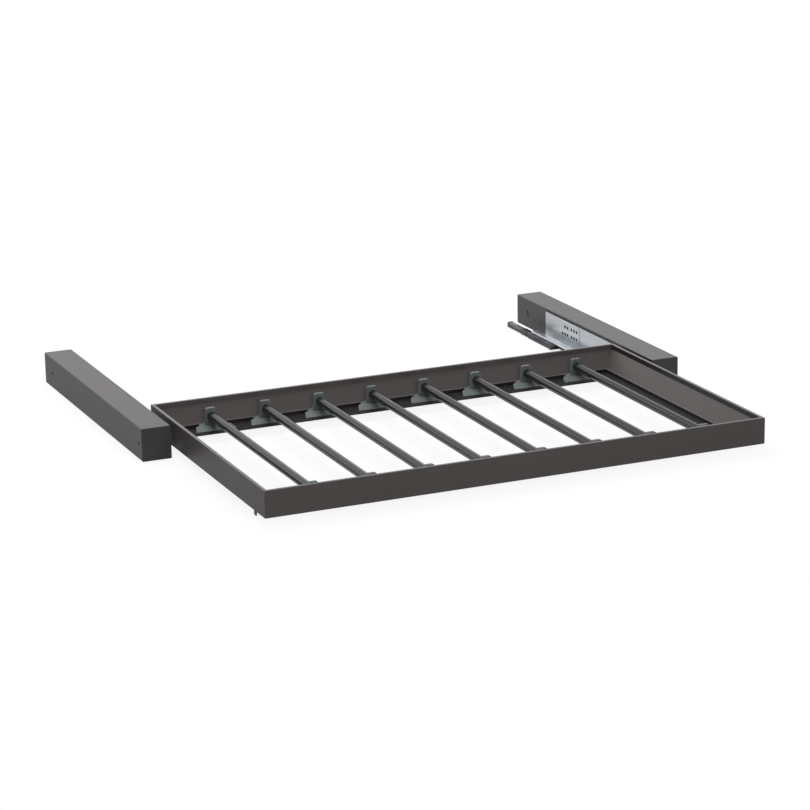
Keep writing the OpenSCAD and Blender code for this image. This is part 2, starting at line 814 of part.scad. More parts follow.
// Rail at the front or rear, with a countersunk hole in its flange for each support screw
module end_rail(rear) {
    at_end(rear) difference() {
        translate([0, 0, rack_lift]) rail(rack_width, flange_end);
        for (i = [1 : rod_count]) translate([rod_x(i), 0, rack_lift]) screw_places()
            countersunk(fit_gap, over);
    }
}

module front_rail() {
    color(rail_color) placed() end_rail(false);
}

// The rear rail is notched at both ends, where the fixed slide rails pass through it
module rear_rail() {
    notch_gap = 0.7;
    color(rail_color) placed() difference() {
        end_rail(true);
        for (side = [-1, 1])
            mirror([side < 0 ? 1 : 0, 0, 0])
                block([hat_inner_x - notch_gap, rack_depth - 2 * rail_wall, rack_lift - over],
                    [hat_outer_x + notch_gap, rack_depth + over, hat_top_z + notch_gap]);
    }
}

module side_rail(side) {
    color(rail_color) placed(side) difference() {
        translate([rack_side_x, rack_depth / 2, rack_lift]) rotate([0, 0, 90])
            rail(rack_depth, side_flange_end);
        rivet_holes(0);
    }
}

// Turns a piece made for the front end round to the rear end
module at_end(rear) {
    if (rear) translate([0, rack_depth, 0]) rotate([0, 0, 180]) children();
    else children();
}

function rod_x(i) = (i - (rod_count + 1) / 2) * rod_pitch;

module screw_places() {
    for (share = support_screw_shares)
        translate([share * foot_width, chamber_width + support_screw_inset, 0]) children();
}

// Countersunk screw pointing up, its head flush with the flange's underside
module countersunk(grow, below) {
    tip = flange_sheet + support_screw_bite + grow;
    rotate_extrude() polygon([
        [0, support_screw_flush - below], [support_screw_head + grow, support_screw_flush - below],
        [support_screw_head + grow, support_screw_flush],
        [support_screw_shank + grow, support_screw_cone],
        [support_screw_shank + grow, tip], [0, tip]
    ]);
}

module support_screws() {
    color("#55565a") placed() for (rear = [false, true], i = [1 : rod_count])
        at_end(rear) translate([rod_x(i), 0, rack_lift]) screw_places() difference() {
            tip = flange_sheet + support_screw_bite;
            rotate_extrude() polygon([
                [0, support_screw_flush], [support_screw_head, support_screw_flush],
                [support_screw_shank, support_screw_cone], [support_screw_shank, tip], [0, tip]
            ]);
            translate([0, 0, support_screw_flush]) cross_recess();
        }
}

// T-shaped support at the front end: sloping foot, tapered post and blind socket for the rod
module support() {
    half_foot = foot_width / 2;
    half_low = post_width_low / 2;
    half_top = post_width_top / 2;
    half_neck = half_low + 2 * post_fillet;
    half_back = half_foot - foot_taper;
    foot_start = post_front - edge_round;
    difference() {
        union() {
            along_y(post_back, post_front) polygon(rounded([
                [-half_neck, flange_sheet], [half_neck, flange_sheet], [half_neck, foot_top],
                [half_low, foot_top], [half_top, post_top], [-half_top, post_top],
                [-half_low, foot_top], [-half_neck, foot_top]
            ], [
                0, 0, edge_round, post_fillet, post_corner, post_corner, post_fillet, edge_round
            ]));
            intersection() {
                along_x(-half_foot, half_foot) polygon(rounded([
                    [foot_start, flange_sheet], [foot_front, flange_sheet],
                    [foot_front, flange_sheet + foot_front_share * foot_thickness],
                    [post_front + foot_ridge_step, foot_top], [foot_start, foot_top]
                ], [0, 0, edge_round / 2, foot_ridge_step, 0]));
                linear_extrude(post_top) polygon([
                    [-half_neck, foot_start], [half_neck, foot_start], [half_neck, post_front],
                    [half_back, post_front + wing_step], [half_foot, foot_front],
                    [-half_foot, foot_front], [-half_back, post_front + wing_step],
                    [-half_neck, post_front]
                ]);
            }
        }
        round_y(post_back + post_back_wall, post_front + over, 0, rod_axis, rod_radius + fit_gap);
        screw_places() countersunk(fit_gap, -fit_gap);
    }
}

module rod_supports(i) {
    color("#4d585c") placed() for (rear = [false, true])
        at_end(rear) translate([rear ? -rod_x(i) : rod_x(i), 0, rack_lift]) support();
}

module hanging_rod(i) {
    end = post_back + post_back_wall + rod_end_gap;
    color("#3c3b3d") placed() translate([rod_x(i), 0, rack_lift]) difference() {
        round_y(end, rack_depth - end, 0, rod_axis, rod_radius);
        round_y(end - over, rack_depth - end + over, 0, rod_axis, rod_radius - rod_wall);
    }
}

// Release lever: a pressed arm with a finger tab that curves down below the side rail
module release_lever(side) {
    boss_low = lever_pivot_z - lever_boss;
    color("#5c5e61") placed(side) difference() {
        union() {
            round_x(lever_outer_x - lever_sheet, lever_outer_x, lever_pivot_y, lever_pivot_z,
                lever_boss);
            along_x(lever_outer_x - lever_sheet, lever_outer_x) polygon(rounded([
                [lever_pivot_y, boss_low], [lever_pivot_y, lever_pivot_z + edge_round],
                [lever_front_y + lever_boss, lever_arm_z + edge_round],
                [lever_front_y, lever_arm_z],
                [lever_front_y, rack_lift],
                [lever_tab_front_y, rack_lift - lever_boss],
                [lever_tab_front_y, lever_tip_z],
                [lever_tab_rear_y, lever_tip_z + edge_round],
                [lever_tab_rear_y, boss_low]
            ], [0, 0, 0, edge_round / 2, 0, 3 * lever_boss, edge_round, edge_round, edge_round]));
        }
        round_x(lever_outer_x - lever_sheet - over, lever_outer_x + over, lever_pivot_y,
            lever_pivot_z, lever_pin + fit_gap);
    }
}

module lever_pins() {
    color("#9a9da1") for (side = [-1, 1]) placed(side) {
        round_x(lever_outer_x - lever_sheet, moving_outer_x, lever_pivot_y, lever_pivot_z,
            lever_pin);
        round_x(moving_outer_x, moving_outer_x + pin_head_height, lever_pivot_y, lever_pivot_z,
            pin_head);
    }
}

housing_shell(-1);  // left_housing_shell
housing_shell(1);  // right_housing_shell
housing_cap(-1, housing_front_y, 1);  // left_front_cap
housing_cap(-1, housing_rear_y, -1);  // left_rear_cap
housing_cap(1, housing_front_y, 1);  // right_front_cap
housing_cap(1, housing_rear_y, -1);  // right_rear_cap
fixed_profile(-1);  // left_fixed_profile
fixed_profile(1);  // right_fixed_profile
spacer_blocks(-1);  // left_spacer_blocks
spacer_blocks(1);  // right_spacer_blocks
profile_screws(-1);  // left_profile_screws
profile_screws(1);  // right_profile_screws
damper_body(-1);  // left_damper_body
damper_body(1);  // right_damper_body
damper_cylinder(-1);  // left_damper_cylinder
damper_cylinder(1);  // right_damper_cylinder
damper_clip(-1);  // left_damper_clip
damper_clip(1);  // right_damper_clip
ball_cage(-1);  // left_ball_cage
ball_cage(1);  // right_ball_cage
slide_balls(-1);  // left_slide_balls
slide_balls(1);  // right_slide_balls
catch_carriage(-1);  // left_catch_carriage
catch_carriage(1);  // right_catch_carriage
piston(-1);  // left_piston
piston(1);  // right_piston
closing_spring(-1);  // left_closing_spring
closing_spring(1);  // right_closing_spring
front_rail();
rear_rail();
side_rail(-1);  // left_rail
side_rail(1);  // right_rail
for (i = [1 : rod_count]) hanging_rod(i);
for (i = [1 : rod_count]) rod_supports(i);
support_screws();
corner_keys();
moving_profile(-1);  // left_moving_profile
moving_profile(1);  // right_moving_profile
slide_rivets();
release_lever(-1);  // left_release_lever
release_lever(1);  // right_release_lever
lever_pins();
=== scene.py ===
"""Pull-out trouser rack: finishes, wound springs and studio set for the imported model."""
import math

import bmesh
import bpy
from mathutils import Matrix, Vector


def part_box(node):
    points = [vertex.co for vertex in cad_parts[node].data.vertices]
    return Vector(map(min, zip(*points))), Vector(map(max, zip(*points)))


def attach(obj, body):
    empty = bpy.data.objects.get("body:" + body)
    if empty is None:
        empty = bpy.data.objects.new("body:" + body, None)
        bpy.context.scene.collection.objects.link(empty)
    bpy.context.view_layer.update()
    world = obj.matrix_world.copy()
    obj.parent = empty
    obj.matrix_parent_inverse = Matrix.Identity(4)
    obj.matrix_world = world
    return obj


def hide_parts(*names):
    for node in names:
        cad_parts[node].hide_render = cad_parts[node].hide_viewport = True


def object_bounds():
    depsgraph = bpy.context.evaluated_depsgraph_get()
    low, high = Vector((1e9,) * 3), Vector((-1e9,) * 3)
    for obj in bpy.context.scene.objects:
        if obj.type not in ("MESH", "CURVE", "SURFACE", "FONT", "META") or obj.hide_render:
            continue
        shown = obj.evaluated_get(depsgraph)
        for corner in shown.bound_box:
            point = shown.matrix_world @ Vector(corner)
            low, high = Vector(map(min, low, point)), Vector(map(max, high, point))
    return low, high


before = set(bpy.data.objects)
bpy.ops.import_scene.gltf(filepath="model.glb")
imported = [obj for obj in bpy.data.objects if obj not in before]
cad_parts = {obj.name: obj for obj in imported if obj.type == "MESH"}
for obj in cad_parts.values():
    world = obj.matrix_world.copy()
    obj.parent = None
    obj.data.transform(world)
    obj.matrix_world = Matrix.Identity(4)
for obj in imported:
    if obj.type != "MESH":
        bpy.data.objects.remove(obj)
CAD_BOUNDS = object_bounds()

bl_info = {
    "name": "Pull-out trouser rack",
    "version": (1, 0, 0),
    "blender": (4, 5, 0),
    "location": "View3D > Sidebar > Trouser Rack",
    "description": "Finishes, wound springs and a studio set for a pull-out trouser rack",
    "category": "Object",
}

MM = 0.001
SIDES = ("left", "right")
SUPPORTS = [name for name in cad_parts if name.startswith("rod_supports")]
RODS = [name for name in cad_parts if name.startswith("rod_") and name not in SUPPORTS]

# A mask's limit that lies beyond the rack on every side, in metres
FAR = 1.0
# How far a mask reaches past the face that it covers
SKIN = 0.2 * MM
# Nearly all values of a noise texture lie between these two
NOISE_LOW, NOISE_HIGH = 0.3, 0.7
# The mix node's colour sockets share their names with its other sockets, so they go by place
MIX_SHARE, MIX_UNDER, MIX_OVER, MIX_RESULT = 0, 6, 7, 2
WHITE = (1, 1, 1, 1)

# Points in each turn of a closing spring's wire, and its hooks' radius against the coil's
SPRING_STEPS = 20
SPRING_HOOK_SHARE = 0.9

# Name, power setting, size and place of each lamp, in metres
LAMPS = (
    ("Top lamp", "top_power", (2.0, 1.6), (-0.1, 0.8, 1.8)),
    ("Side lamp", "side_power", (1.6, 1.2), (-2.4, -0.4, 0.9)),
    ("Front lamp", "front_power", (2.0, 1.2), (-0.3, -3.2, 1.2)),
)
# Width of the camera's sensor in millimetres, and how far it sees in metres
SENSOR_WIDTH = 36
CAMERA_REACH = 100
# The floor's edges lie this far from its middle, in metres
FLOOR_REACH = 9.0
# The floor lies this far below the rack, so that no two faces share a plane
FLOOR_GAP = 0.5 * MM
# Distances from the middle at which the rack's shadow starts to fade and is gone
SHADOW_FADE = (0.45, 1.1)
# Heights of a mirrored direction at which the white backdrop starts to dim and is all ceiling
BACKDROP_FADE = (0.36, 0.62)


def linear(code):
    """Linear RGBA of an sRGB hex colour."""
    parts = [int(code[i:i + 2], 16) / 255 for i in (1, 3, 5)]
    return tuple(
        v / 12.92 if v <= 0.04045 else ((v + 0.055) / 1.055) ** 2.4 for v in parts) + (1.0,)


ROOM_COLOUR = linear("#F2F4F6")


def colour_setting(name, description, code):
    """A colour property whose default is given as an sRGB hex value."""
    return bpy.props.FloatVectorProperty(
        name=name, description=description, subtype="COLOR", size=4, min=0, max=1,
        default=linear(code))


def length_setting(name, description, millimetres, low=0.0, high=10.0):
    """A length property whose default is given in millimetres."""
    return bpy.props.FloatProperty(
        name=name, description=description, subtype="DISTANCE", unit="LENGTH",
        default=millimetres * MM, min=low, max=high, precision=5)


def share_setting(name, description, share):
    """A property that runs from nought to one."""
    return bpy.props.FloatProperty(
        name=name, description=description, subtype="FACTOR", default=share, min=0, max=1)


def angle_setting(name, description, degrees):
    """An angle property whose default is given in degrees."""
    return bpy.props.FloatProperty(
        name=name, description=description, subtype="ANGLE", default=math.radians(degrees))


def power_setting(name, description, watts):
    """A lamp's power in watts."""
    return bpy.props.FloatProperty(
        name=name, description=description, unit="POWER", default=watts, min=0)


class RackCoating(bpy.types.PropertyGroup):
    """Powder coat on the housings, the frame and the rods."""
    housing: colour_setting("Housing colour", "Powder coat on the side housings", "#4B484A")
    cap: colour_setting("End cap colour", "Moulded end caps of the side housings", "#3A383A")
    rail: colour_setting("Frame colour", "Metallic coat on the frame rails", "#474241")
    # Painted highlight: this lighter colour lightens the rails' top faces and a thin line at the
    # inner walls' foot
    edge_highlight: colour_setting("Crest colour", "Coat on the narrow edges of the rails", "#625E5E")
    # Painted shade: this dark colour darkens the rails' trough, the side beads' inner faces and
    # the housings' lip over the slide window, where shadow falls
    painted_shade: colour_setting("Painted shade colour", "Dark primer where the coat is thin", "#1F1D1C")
    trough_wall: length_setting(
        "Trough start", "Distance of the trough inside the rails from their outer faces", 25.8)
    trough_depth: length_setting(
        "Trough depth", "Height of the trough inside the rails above their underside", 6.7)
    # Height of the painted highlight line at the inner walls' foot
    foot_highlight: length_setting(
        "Foot edge", "Height of the bright edge at the inner walls' foot", 1.0)
    bead_width: length_setting("Bead width", "Thickness of the bead along the rail tops", 5)
    bead_height: length_setting("Bead height", "Height of the bead along the rail tops", 7.5)
    lip: length_setting("Window lip", "Height of the housings' lip above the slide window", 5.1)
    # The lip band below this bend gets painted shade, and the bend keeps the housing colour
    lip_bend: length_setting(
        "Lip bend", "Height of the rounded bend above the lip, where the coat is full", 1.02)
    rod: colour_setting("Rod colour", "Coat on the hanging rods", "#141314")
    rod_roughness: share_setting("Rod roughness", "Roughness of the rods' smoother coat", 0.26)
    lacquer: share_setting("Rod lacquer", "Share of clear lacquer over the rods' coat", 0.3)
    grain: length_setting("Coat grain", "Width of one hump of the coat's fine texture", 1.6)
    roughness: share_setting("Coat roughness", "Roughness of the coat's gloss", 0.38)


class RackMouldings(bpy.types.PropertyGroup):
    """Moulded plastic pieces."""
    support: colour_setting("Support colour", "Rod supports", "#5A5F5F")
    black: colour_setting("Black moulding", "Ball cages and spacer blocks", "#1C1D20")
    slate: colour_setting("Slate moulding", "Bodies of the soft-closing units", "#4B4C53")
    grey: colour_setting("Grey moulding", "Damper cylinders", "#47474C")
    natural: colour_setting("Natural moulding", "Catch carriages", "#D8D2C4")
    spark: length_setting(
        "Moulded grain", "Width of one dent of the mould's spark-eroded grain", 1.2)


class RackMetals(bpy.types.PropertyGroup):
    """Bare and plated metal pieces."""
    zinc: colour_setting("Zinc colour", "Bright zinc on the slide profiles", "#EAEEF2")
    steel: colour_setting("Bright steel colour", "Screws, rivets, pistons and clips", "#BFC2C6")
    lever: colour_setting("Lever colour", "Dark plated release levers", "#5B5D60")
    rolling: length_setting(
        "Rolling streaks", "Spacing of the streaks left by rolling the sheet", 1.5)


class RackSprings(bpy.types.PropertyGroup):
    """Wound closing springs inside the soft-closing bodies."""
    wire: length_setting("Wire diameter", "Diameter of the spring wire", 0.45)
    turns: bpy.props.IntProperty(
        name="Turns", description="Turns of wire in each closing spring",
        default=46, min=8, max=90)
    hook_turns: bpy.props.FloatProperty(
        name="Hook", description="Part of a turn bent up into each end hook",
        default=0.75, min=0.25, max=1)


class RackStudio(bpy.types.PropertyGroup):
    """Floor, lamps and camera."""
    focal: bpy.props.FloatProperty(
        name="Focal length", description="Focal length on a 36 mm wide sensor", unit="CAMERA",
        default=126.36, min=20, max=300)
    eye: bpy.props.FloatVectorProperty(
        name="Camera place", description="Where the camera stands", subtype="TRANSLATION",
        unit="LENGTH", size=3, default=(-1.62205, -3.7513, 1.18801))
    azimuth: angle_setting("Azimuth", "Turn of the view round the upright axis", -23.41)
    elevation: angle_setting("Elevation", "Height of the view above the horizon", 16.05)
    roll: angle_setting("Roll", "Lean of the camera about its own axis", -0.98)
    floor: colour_setting("Floor colour", "Pale seamless floor", "#F4F4F3")
    lift: share_setting(
        "Floor whiteness", "Share of plain white in the floor beside the rack", 0.87)
    ceiling: share_setting(
        "Ceiling", "Brightness overhead in reflections, against white at the backdrop", 0.36)
    ground: share_setting(
        "Floor in reflections", "Brightness of the floor in reflections", 0.5)
    top_power: power_setting("Top lamp", "Power of the wide lamp overhead", 60)
    side_power: power_setting("Side lamp", "Power of the soft lamp on the left", 6)
    front_power: power_setting("Front lamp", "Power of the fill lamp behind the camera", 50)
    ambient: bpy.props.FloatProperty(
        name="Room light", description="Strength of the even light from all round",
        default=0.2, min=0)


def add_node(tree, kind, settings=None, links=None):
    """Adds a node, sets its properties and sockets, and links its sockets from others."""
    node = tree.nodes.new(kind)
    for key, value in (settings or {}).items():
        if isinstance(key, str) and key not in node.inputs:
            setattr(node, key, value)
        else:
            node.inputs[key].default_value = value
    for key, source in (links or {}).items():
        tree.links.new(source, node.inputs[key])
    return node


def new_material(name):
    """A node material of that name with an empty tree."""
    material = bpy.data.materials.new(name)
    material.use_nodes = True
    material.node_tree.nodes.clear()
    return material


def finish_material(material, shader):
    """Puts the shader on the material's surface."""
    add_node(material.node_tree, "ShaderNodeOutputMaterial", links={"Surface": shader.outputs[0]})
    return material


def place(tree, stretch=(1, 1, 1)):
    """Object coordinates in metres, stretched along each axis."""
    coordinates = add_node(tree, "ShaderNodeTexCoord")
    return add_node(
        tree, "ShaderNodeMapping", {"Scale": stretch},
        {"Vector": coordinates.outputs["Object"]}).outputs["Vector"]


def tinted(tree, factor, base, spread):
    """Shades from a darker to a lighter one of the base colour, as the factor rises."""
    ramp = add_node(tree, "ShaderNodeValToRGB", links={"Fac": factor})
    dark, light = ramp.color_ramp.elements
    dark.position, light.position = NOISE_LOW, NOISE_HIGH
    dark.color = tuple(v * (1 - spread) for v in base[:3]) + (1,)
    light.color = tuple(min(1, v * (1 + spread)) for v in base[:3]) + (1,)
    return ramp.outputs["Color"]


def between(tree, value, low, high):
    """One where the value lies between the two limits, and nought elsewhere."""
    above = add_node(tree, "ShaderNodeMath", {"operation": "GREATER_THAN", 1: low}, {0: value})
    below = add_node(tree, "ShaderNodeMath", {"operation": "LESS_THAN", 1: high}, {0: value})
    return joined(tree, "MULTIPLY", above.outputs[0], below.outputs[0])


def joined(tree, operation, *values):
    """Several values made one: MULTIPLY keeps what masks share, MAXIMUM takes the largest."""
    whole = values[0]
    for value in values[1:]:
        whole = add_node(
            tree, "ShaderNodeMath", {"operation": operation}, {0: whole, 1: value}).outputs[0]
    return whole


def from_middle(tree, value, middle):
    """Distance of the value from the middle."""
    shift = add_node(tree, "ShaderNodeMath", {"operation": "SUBTRACT", 1: middle}, {0: value})
    return add_node(
        tree, "ShaderNodeMath", {"operation": "ABSOLUTE"}, {0: shift.outputs[0]}).outputs[0]


def rail_masks(tree, coat):
    """Masks for the rails: where painted shade darkens the trough and the side beads' inner
    faces, and where a painted highlight lightens the top faces and the inner walls' foot.
    """
    low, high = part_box("front_rail")[0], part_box("rear_rail")[1]
    reach = (high.y - low.y) / 2
    parts = add_node(tree, "ShaderNodeSeparateXYZ", None, {"Vector": place(tree)})
    across = from_middle(tree, parts.outputs["X"], 0.0)
    along = from_middle(tree, parts.outputs["Y"], (low.y + high.y) / 2)
    height = parts.outputs["Z"]

    def inside(wall, bottom, top):
        """Mask for what lies this far inside the outer faces, between two heights."""
        return joined(
            tree, "MULTIPLY",
            between(tree, across, -FAR, high.x - wall),
            between(tree, along, -FAR, reach - wall),
            between(tree, height, bottom, top))

    foot = low.z + coat.trough_depth
    # Painted shade over the trough inside the rails, below the inner walls' foot
    trough = inside(coat.trough_wall, -FAR, foot)
    # Painted highlight: a thin line along the foot of the inner walls
    foot_highlight = inside(coat.trough_wall - coat.foot_highlight, foot, foot + coat.foot_highlight)
    # The bead's inner face, on the side rails alone, gets painted shade
    bead_face = high.x - coat.bead_width
    bead = joined(
        tree, "MULTIPLY",
        between(tree, across, bead_face - SKIN, bead_face + SKIN),
        between(tree, along, -FAR, reach - coat.bead_width + SKIN),
        between(tree, height, high.z - coat.bead_height - SKIN, high.z - 2 * SKIN))
    # Painted highlight on the rails' top faces
    edge_highlight = between(tree, height, high.z - SKIN, FAR)
    return joined(tree, "MAXIMUM", trough, bead), joined(tree, "MAXIMUM", edge_highlight, foot_highlight)


def lip_mask(tree, coat):
    """Mask for the housings' lip over the slide window, which gets painted shade.

    It goes by the distance from the middle, so the right housing's sizes serve both.
    """
    window_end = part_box("right_fixed_profile")[1].y
    shell_low, shell_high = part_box("right_housing_shell")
    parts = add_node(tree, "ShaderNodeSeparateXYZ", None, {"Vector": place(tree)})
    across = from_middle(tree, parts.outputs["X"], 0.0)
    return joined(
        tree, "MULTIPLY",
        between(tree, across, 0, shell_low.x + 2 * SKIN),
        between(tree, parts.outputs["Y"], -FAR, window_end),
        between(
            tree, parts.outputs["Z"],
            shell_high.z - coat.lip - SKIN, shell_high.z - coat.lip_bend))


def powder_coat(name, base, grain, roughness, layers=None, lacquer=0.0):
    """Baked powder coat: the eye sees a satin skin with a faint orange-peel ripple.

    layers gives pairs of a mask and the colour that shows there.
    """
    material = new_material(name)
    tree = material.node_tree
    at = place(tree)
    # Humps of the coat are about 0.3 mm wide on the real one and drawn wider, so that they show
    peel = add_node(
        tree, "ShaderNodeTexNoise", {"Scale": 1 / grain, "Detail": 3.0, "Roughness": 0.55},
        {"Vector": at}).outputs["Fac"]
    # The coat's thickness drifts slowly over the length of a hand
    drift = 125 * MM
    cloud = add_node(
        tree, "ShaderNodeTexNoise", {"Scale": 1 / drift, "Detail": 2.0}, {"Vector": at})
    blend = add_node(
        tree, "ShaderNodeMix", {"data_type": "FLOAT", "Factor": 0.35},
        {"A": peel, "B": cloud.outputs["Fac"]})
    shade = tinted(tree, blend.outputs["Result"], base, 0.12)
    for mask, colour in (layers(tree) if layers else ()):
        shade = add_node(
            tree, "ShaderNodeMix", {"data_type": "RGBA", MIX_OVER: colour},
            {MIX_SHARE: mask, MIX_UNDER: shade}).outputs[MIX_RESULT]
    polish = add_node(
        tree, "ShaderNodeMapRange",
        {"From Min": NOISE_LOW, "From Max": NOISE_HIGH,
         "To Min": roughness - 0.05, "To Max": roughness + 0.07},
        {"Value": peel})
    ripple_depth = 0.05 * MM
    ripple = add_node(
        tree, "ShaderNodeBump", {"Strength": 0.12, "Distance": ripple_depth}, {"Height": peel})
    shader = add_node(
        tree, "ShaderNodeBsdfPrincipled",
        {"Metallic": 0.0, "IOR": 1.5, "Coat Weight": lacquer, "Coat Roughness": 0.08},
        {"Base Color": shade, "Roughness": polish.outputs["Result"],
         "Normal": ripple.outputs["Normal"]})
    return finish_material(material, shader)


def moulded_plastic(name, base, grain, roughness, strength):
    """Injection-moulded plastic: a matt skin with the fine dents of a spark-eroded mould.

    The dents are about 0.1 mm wide on the real one and drawn wider, so that they show.
    """
    material = new_material(name)
    tree = material.node_tree
    at = place(tree)
    dents = add_node(
        tree, "ShaderNodeTexVoronoi",
        {"feature": "SMOOTH_F1", "Scale": 1 / grain, "Smoothness": 0.6},
        {"Vector": at}).outputs["Distance"]
    # Marks of the plastic's flow into the mould
    flow_width = 40 * MM
    flow = add_node(
        tree, "ShaderNodeTexNoise", {"Scale": 1 / flow_width, "Detail": 3.0, "Distortion": 0.6},
        {"Vector": at})
    shade = tinted(tree, flow.outputs["Fac"], base, 0.1)
    sheen = add_node(
        tree, "ShaderNodeMapRange",
        {"From Min": 0.0, "From Max": 0.8,
         "To Min": roughness - 0.06, "To Max": roughness + 0.08},
        {"Value": dents})
    dent_depth = 0.06 * MM
    bump = add_node(
        tree, "ShaderNodeBump", {"Strength": strength, "Distance": dent_depth},
        {"Height": dents})
    shader = add_node(
        tree, "ShaderNodeBsdfPrincipled", {"Metallic": 0.0, "IOR": 1.5},
        {"Base Color": shade, "Roughness": sheen.outputs["Result"],
         "Normal": bump.outputs["Normal"]})
    return finish_material(material, shader)


def rolled_metal(name, base, spacing, roughness, anisotropic=0.0):
    """Rolled, drawn or turned metal: bright, with faint streaks along its length."""
    material = new_material(name)
    tree = material.node_tree
    # Streaks run along Y, so the pattern is drawn out fifty times along it
    streaks = add_node(
        tree, "ShaderNodeTexNoise", {"Scale": 1 / spacing, "Detail": 4.0, "Roughness": 0.6},
        {"Vector": place(tree, (1.0, 0.02, 1.0))}).outputs["Fac"]
    # Patches of duller plating
    patch_width = 22.2 * MM
    patches = add_node(
        tree, "ShaderNodeTexNoise", {"Scale": 1 / patch_width, "Detail": 3.0},
        {"Vector": place(tree)})
    blend = add_node(
        tree, "ShaderNodeMix", {"data_type": "FLOAT", "Factor": 0.4},
        {"A": streaks, "B": patches.outputs["Fac"]}).outputs["Result"]
    shade = tinted(tree, blend, base, 0.08)
    polish = add_node(
        tree, "ShaderNodeMapRange",
        {"From Min": NOISE_LOW, "From Max": NOISE_HIGH,
         "To Min": roughness - 0.05, "To Max": roughness + 0.08},
        {"Value": blend})
    streak_depth = 0.03 * MM
    bump = add_node(
        tree, "ShaderNodeBump", {"Strength": 0.08, "Distance": streak_depth},
        {"Height": streaks})
    shader = add_node(
        tree, "ShaderNodeBsdfPrincipled", {"Metallic": 1.0, "Anisotropic": anisotropic},
        {"Base Color": shade, "Roughness": polish.outputs["Result"],
         "Normal": bump.outputs["Normal"]})
    return finish_material(material, shader)


def paint(material, *names):
    """Gives the named frame nodes that material in every slot."""
    for name in names:
        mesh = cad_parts[name].data
        if not mesh.materials:
            mesh.materials.append(material)
        for i in range(len(mesh.materials)):
            mesh.materials[i] = material


def both(*names):
    """The names with left_ and right_ before them."""
    return ["%s_%s" % (side, name) for side in SIDES for name in names]


class RACK_OT_housings(bpy.types.Operator):
    """Coats the side housings and gives their end caps and blocks a moulded skin"""
    bl_idname = "trouser_rack.housings"
    bl_label = "Side housings"

    def execute(self, context):
        coat = context.scene.rack_coating
        mould = context.scene.rack_mouldings

        def layers(tree):
            # Painted shadow on the lip over the slide window, standing for the dark gap into the
            # housing there
            return ((lip_mask(tree, coat), coat.painted_shade),)

        steel = powder_coat(
            "Powder-coated folded steel", coat.housing, coat.grain, coat.roughness, layers)
        cap = moulded_plastic(
            "Moulded ABS end cap", coat.cap, mould.spark, roughness=0.5, strength=0.2)
        black = moulded_plastic(
            "Moulded black nylon block", mould.black, mould.spark, roughness=0.55, strength=0.25)
        paint(steel, *both("housing_shell"))
        paint(cap, *both("front_cap", "rear_cap"))
        paint(black, *both("spacer_blocks"))
        return {"FINISHED"}


class RACK_OT_rails(bpy.types.Operator):
    """Coats the frame rails and leaves the keys in their corners bare"""
    bl_idname = "trouser_rack.rails"
    bl_label = "Frame rails"

    def execute(self, context):
        coat = context.scene.rack_coating
        metals = context.scene.rack_metals

        def layers(tree):
            # Painted shade darkens the trough and the side beads' inner faces, and a painted
            # highlight lightens the top faces and the inner walls' foot
            shaded, edge_highlight = rail_masks(tree, coat)
            return (shaded, coat.painted_shade), (edge_highlight, coat.edge_highlight)

        rail = powder_coat(
            "Powder-coated extruded aluminium", coat.rail, coat.grain, coat.roughness, layers)
        key = rolled_metal(
            "Sawn aluminium corner key", metals.steel, metals.rolling, roughness=0.4,
            anisotropic=0.2)
        paint(rail, "front_rail", "rear_rail", "left_rail", "right_rail")
        paint(key, "corner_keys")
        return {"FINISHED"}


class RACK_OT_rods(bpy.types.Operator):
    """Coats the hanging rods"""
    bl_idname = "trouser_rack.rods"
    bl_label = "Hanging rods"

    def execute(self, context):
        coat = context.scene.rack_coating
        tube = powder_coat(
            "Powder-coated drawn steel tube", coat.rod, coat.grain, coat.rod_roughness,
            lacquer=coat.lacquer)
        paint(tube, *RODS)
        return {"FINISHED"}


class RACK_OT_supports(bpy.types.Operator):
    """Gives the rod supports their moulded skin and plates the rack's screws, rivets and pins"""
    bl_idname = "trouser_rack.supports"
    bl_label = "Rod supports"

    def execute(self, context):
        mould = context.scene.rack_mouldings
        metals = context.scene.rack_metals
        skin = moulded_plastic(
            "Moulded grey-green ABS", mould.support, mould.spark, roughness=0.45, strength=0.25)
        screw = rolled_metal(
            "Zinc-plated screw steel", metals.steel, metals.rolling, roughness=0.32)
        paint(skin, *SUPPORTS)
        paint(screw, "support_screws", "slide_rivets", "lever_pins", *both("profile_screws"))
        return {"FINISHED"}


class RACK_OT_slides(bpy.types.Operator):
    """Plates the slide profiles and finishes their cages, balls and release levers"""
    bl_idname = "trouser_rack.slides"
    bl_label = "Ball slides"

    def execute(self, context):
        metals = context.scene.rack_metals
        mould = context.scene.rack_mouldings
        zinc = rolled_metal(
            "Bright zinc-plated steel strip", metals.zinc, metals.rolling, roughness=0.3,
            anisotropic=0.35)
        ball = rolled_metal(
            "Ground bearing steel", metals.steel, metals.rolling, roughness=0.12)
        lever = rolled_metal(
            "Black zinc-plated pressed steel", metals.lever, metals.rolling, roughness=0.4,
            anisotropic=0.2)
        cage = moulded_plastic(
            "Moulded acetal ball cage", mould.black, mould.spark, roughness=0.45, strength=0.2)
        paint(zinc, *both("fixed_profile", "moving_profile"))
        paint(ball, *both("slide_balls"))
        paint(lever, *both("release_lever"))
        paint(cage, *both("ball_cage"))
        return {"FINISHED"}


